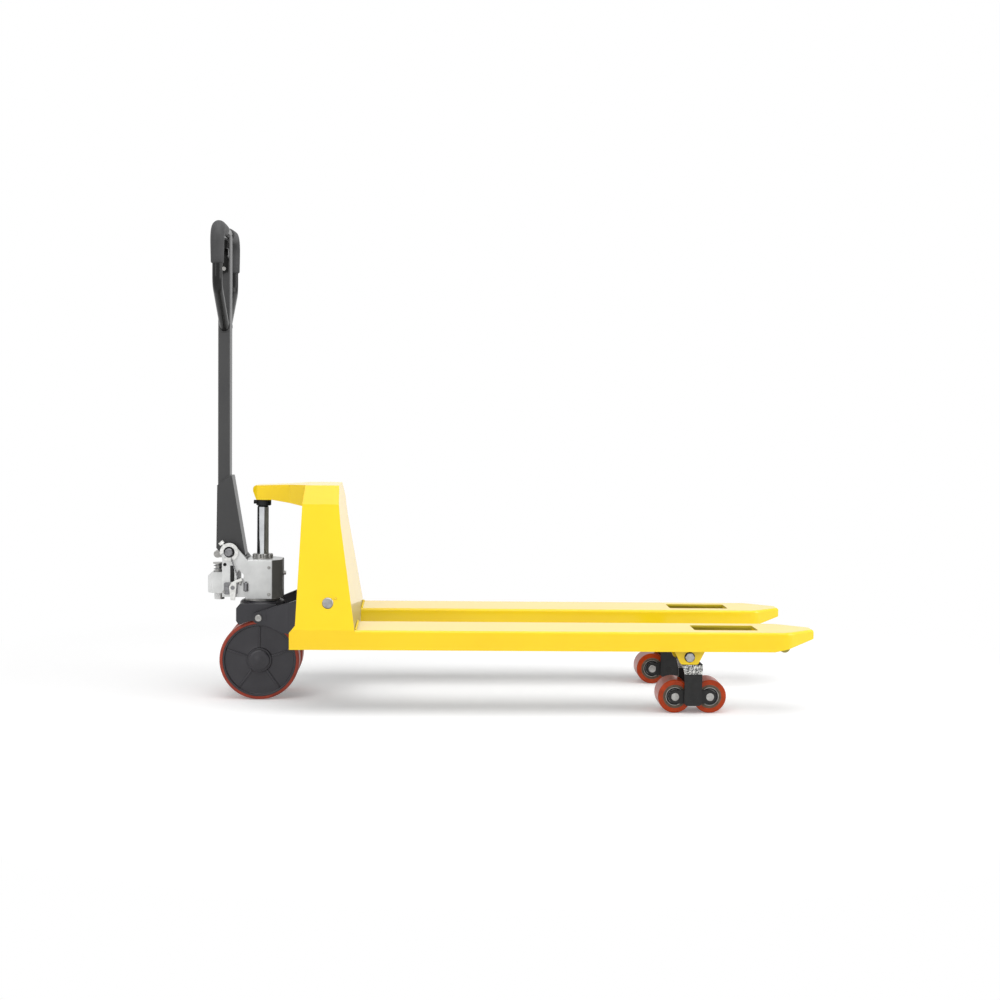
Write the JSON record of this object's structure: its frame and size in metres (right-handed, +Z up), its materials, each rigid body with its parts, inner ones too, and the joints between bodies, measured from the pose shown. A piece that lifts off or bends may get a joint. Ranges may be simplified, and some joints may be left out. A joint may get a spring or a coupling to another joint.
{
  "type": "hand pallet jack",
  "caption": "Hand pallet jack with two raised forks on load rollers, a hydraulic pump unit on steering wheels, a rocker and push-rod lift and a looped steering handle.",
  "frame": {"origin": "On the floor, midway along the overall length and midway between the forks, with the forks raised.", "axes": "+X runs along the forks towards their tips, +Y to the left of someone facing the fork tips from the handle, +Z up."},
  "size_m": [1.509, 0.55, 1.187],
  "materials": {
    "chassis_yellow": "gloss",
    "rocker_black": "satin",
    "handle_black": "satin",
    "pump_grey": "satin",
    "zinc": "satin",
    "dark_steel": "satin",
    "chrome_rod": "polished",
    "wheel_core": "matt",
    "roller_core": "matt",
    "tyre_brown": "matt",
    "tread_orange": "satin",
    "grip_black": "matt",
    "entry_roller_olive": "matt",
    "spring_steel": "satin"
  },
  "bodies": {
    "chassis": {"fork_left": "chassis_yellow", "fork_right": "chassis_yellow", "entry_roller_axles": "zinc", "side_plate_left": "chassis_yellow", "side_plate_right": "chassis_yellow", "top_plate": "chassis_yellow", "backrest_sheet": "chassis_yellow", "lift_arm": "chassis_yellow", "piston_seat": "dark_steel", "rocker_pins": "zinc", "arm_lugs": "chassis_yellow", "arm_pivot_bolts": "zinc"},
    "entry_roller_left": {"entry_roller_left": "entry_roller_olive"},
    "entry_roller_right": {"entry_roller_right": "entry_roller_olive"},
    "rocker": {"rocker_frame": "rocker_black", "rod_pins": "zinc"},
    "push_rod_left": {"push_rod_left": "zinc"},
    "push_rod_right": {"push_rod_right": "zinc"},
    "swivel": {"swivel_base": "rocker_black", "trunnion_bolts": "zinc"},
    "steer_unit": {"thrust_bearing": "zinc", "pump_body": "pump_grey", "gland_nut": "zinc", "fill_plug": "zinc", "plunger_housing": "pump_grey", "handle_shaft": "zinc", "shaft_ring_and_knob": "zinc", "release_bracket": "zinc", "steer_axle": "dark_steel", "plunger_spring": "spring_steel"},
    "piston": {"lift_piston": "chrome_rod"},
    "plunger": {"pump_plunger": "zinc"},
    "wheel_left": {"steer_tyre_left": "tyre_brown", "steer_hub_left": "wheel_core"},
    "wheel_right": {"steer_tyre_right": "tyre_brown", "steer_hub_right": "wheel_core"},
    "handle": {"handle_bracket": "handle_black", "pressure_roller_yoke": "zinc", "handle_tube": "handle_black", "handle_loop": "handle_black", "grips": "grip_black", "control_lever_pin": "zinc"},
    "pressure_roller": {"pressure_roller": "zinc"},
    "control_lever": {"control_lever": "handle_black"},
    "release_lever": {"release_lever": "zinc"},
    "release_chain": {"release_chain": "spring_steel"},
    "roller_arm_left": {"roller_arm_left": "dark_steel"},
    "bogie_pins_left": {"bogie_pins_left": "dark_steel"},
    "bogie_left": {"bogie_links_left": "dark_steel"},
    "rear_roller_left": {"rear_roller_tread_left": "tread_orange", "rear_roller_core_left": "roller_core"},
    "front_roller_left": {"front_roller_tread_left": "tread_orange", "front_roller_core_left": "roller_core"},
    "roller_arm_right": {"roller_arm_right": "dark_steel"},
    "bogie_pins_right": {"bogie_pins_right": "dark_steel"},
    "bogie_right": {"bogie_links_right": "dark_steel"},
    "rear_roller_right": {"rear_roller_tread_right": "tread_orange", "rear_roller_core_right": "roller_core"},
    "front_roller_right": {"front_roller_tread_right": "tread_orange", "front_roller_core_right": "roller_core"}
  },
  "joints": [
    {"name": "lift", "type": "hinge", "parent": "chassis", "child": "rocker", "pos_m": [-0.437, 0, 0.268], "axis": [0, 1, 0], "range_deg": [0, 37.19]},
    {"name": "swivel_level", "type": "hinge", "parent": "rocker", "child": "swivel", "pos_m": [-0.6175, 0, 0.2095], "axis": [0, 1, 0], "range_deg": [-37.19, 0]},
    {"name": "steer", "type": "hinge", "parent": "swivel", "child": "steer_unit", "pos_m": [-0.6175, 0, 0.2095], "axis": [0, 0, 1], "range_deg": [-90, 90]},
    {"name": "piston", "type": "slide", "parent": "steer_unit", "child": "piston", "axis": [0, 0, -1], "range_m": [0, 0.1218]},
    {"name": "handle", "type": "hinge", "parent": "steer_unit", "child": "handle", "pos_m": [-0.6965, 0, 0.369], "axis": [0, -1, 0], "range_deg": [0, 80]},
    {"name": "plunger", "type": "slide", "parent": "steer_unit", "child": "plunger", "axis": [0, 0, -1], "range_m": [0, 0.0161], "deforming": ["plunger_spring"]},
    {"name": "pressure_roller", "type": "hinge", "parent": "handle", "child": "pressure_roller", "pos_m": [-0.73127, 0, 0.35968], "axis": [0, 1, 0], "continuous": true},
    {"name": "control", "type": "hinge", "parent": "handle", "child": "control_lever", "pos_m": [-0.7135, 0, 1.078], "axis": [0, -1, 0], "range_deg": [0, 12]},
    {"name": "release", "type": "hinge", "parent": "steer_unit", "child": "release_lever", "pos_m": [-0.6865, -0.0583, 0.28], "axis": [0, -1, 0], "range_deg": [0, 10.01]},
    {"name": "chain", "type": "slide", "parent": "steer_unit", "child": "release_chain", "axis": [-0.3406, 0, 0.9402], "range_m": [0, 0.00401]},
    {"name": "wheel_left", "type": "hinge", "parent": "steer_unit", "child": "wheel_left", "pos_m": [-0.6175, 0.057, 0.1], "axis": [0, 1, 0], "continuous": true},
    {"name": "wheel_right", "type": "hinge", "parent": "steer_unit", "child": "wheel_right", "pos_m": [-0.6175, -0.057, 0.1], "axis": [0, 1, 0], "continuous": true},
    {"name": "entry_roller_left", "type": "hinge", "parent": "chassis", "child": "entry_roller_left", "pos_m": [0.6825, 0.195, 0.163], "axis": [0, 1, 0], "continuous": true},
    {"name": "push_rod_left", "type": "hinge", "parent": "rocker", "child": "push_rod_left", "pos_m": [-0.41048, 0.195, 0.18619], "axis": [0, 1, 0], "range_deg": [-37.19, 0]},
    {"name": "roller_arm_left", "type": "hinge", "parent": "chassis", "child": "roller_arm_left", "pos_m": [0.4415, 0.195, 0.142], "axis": [0, -1, 0], "range_deg": [0, 94.39]},
    {"name": "bogie_level_left", "type": "hinge", "parent": "roller_arm_left", "child": "bogie_pins_left", "pos_m": [0.4538, 0.195, 0.041], "axis": [0, -1, 0], "range_deg": [-94.39, 0]},
    {"name": "bogie_tilt_left", "type": "hinge", "parent": "bogie_pins_left", "child": "bogie_left", "pos_m": [0.4538, 0.195, 0.041], "axis": [0, 1, 0], "range_deg": [-8, 8]},
    {"name": "rear_roller_left", "type": "hinge", "parent": "bogie_left", "child": "rear_roller_left", "pos_m": [0.4108, 0.195, 0.041], "axis": [0, 1, 0], "continuous": true},
    {"name": "front_roller_left", "type": "hinge", "parent": "bogie_left", "child": "front_roller_left", "pos_m": [0.4968, 0.195, 0.041], "axis": [0, 1, 0], "continuous": true},
    {"name": "entry_roller_right", "type": "hinge", "parent": "chassis", "child": "entry_roller_right", "pos_m": [0.6825, -0.195, 0.163], "axis": [0, 1, 0], "continuous": true},
    {"name": "push_rod_right", "type": "hinge", "parent": "rocker", "child": "push_rod_right", "pos_m": [-0.41048, -0.195, 0.18619], "axis": [0, 1, 0], "range_deg": [-37.19, 0]},
    {"name": "roller_arm_right", "type": "hinge", "parent": "chassis", "child": "roller_arm_right", "pos_m": [0.4415, -0.195, 0.142], "axis": [0, -1, 0], "range_deg": [0, 94.39]},
    {"name": "bogie_level_right", "type": "hinge", "parent": "roller_arm_right", "child": "bogie_pins_right", "pos_m": [0.4538, -0.195, 0.041], "axis": [0, -1, 0], "range_deg": [-94.39, 0]},
    {"name": "bogie_tilt_right", "type": "hinge", "parent": "bogie_pins_right", "child": "bogie_right", "pos_m": [0.4538, -0.195, 0.041], "axis": [0, 1, 0], "range_deg": [-8, 8]},
    {"name": "rear_roller_right", "type": "hinge", "parent": "bogie_right", "child": "rear_roller_right", "pos_m": [0.4108, -0.195, 0.041], "axis": [0, 1, 0], "continuous": true},
    {"name": "front_roller_right", "type": "hinge", "parent": "bogie_right", "child": "front_roller_right", "pos_m": [0.4968, -0.195, 0.041], "axis": [0, 1, 0], "continuous": true}
  ],
  "couplings": [
    {"joint": "swivel_level", "follows": "lift", "ratio": -1},
    {"joint": "piston", "follows": "lift", "m_per_rad": 0.18734},
    {"joint": "plunger", "follows": "handle", "m_per_rad": 0.011459},
    {"joint": "release", "follows": "control", "ratio": 0.83333},
    {"joint": "chain", "follows": "control", "m_per_rad": 0.019099},
    {"joint": "push_rod_left", "follows": "lift", "ratio": -1},
    {"joint": "roller_arm_left", "follows": "lift", "ratio": 2.5382},
    {"joint": "bogie_level_left", "follows": "lift", "ratio": -2.5382},
    {"joint": "push_rod_right", "follows": "lift", "ratio": -1},
    {"joint": "roller_arm_right", "follows": "lift", "ratio": 2.5382},
    {"joint": "bogie_level_right", "follows": "lift", "ratio": -2.5382}
  ]
}
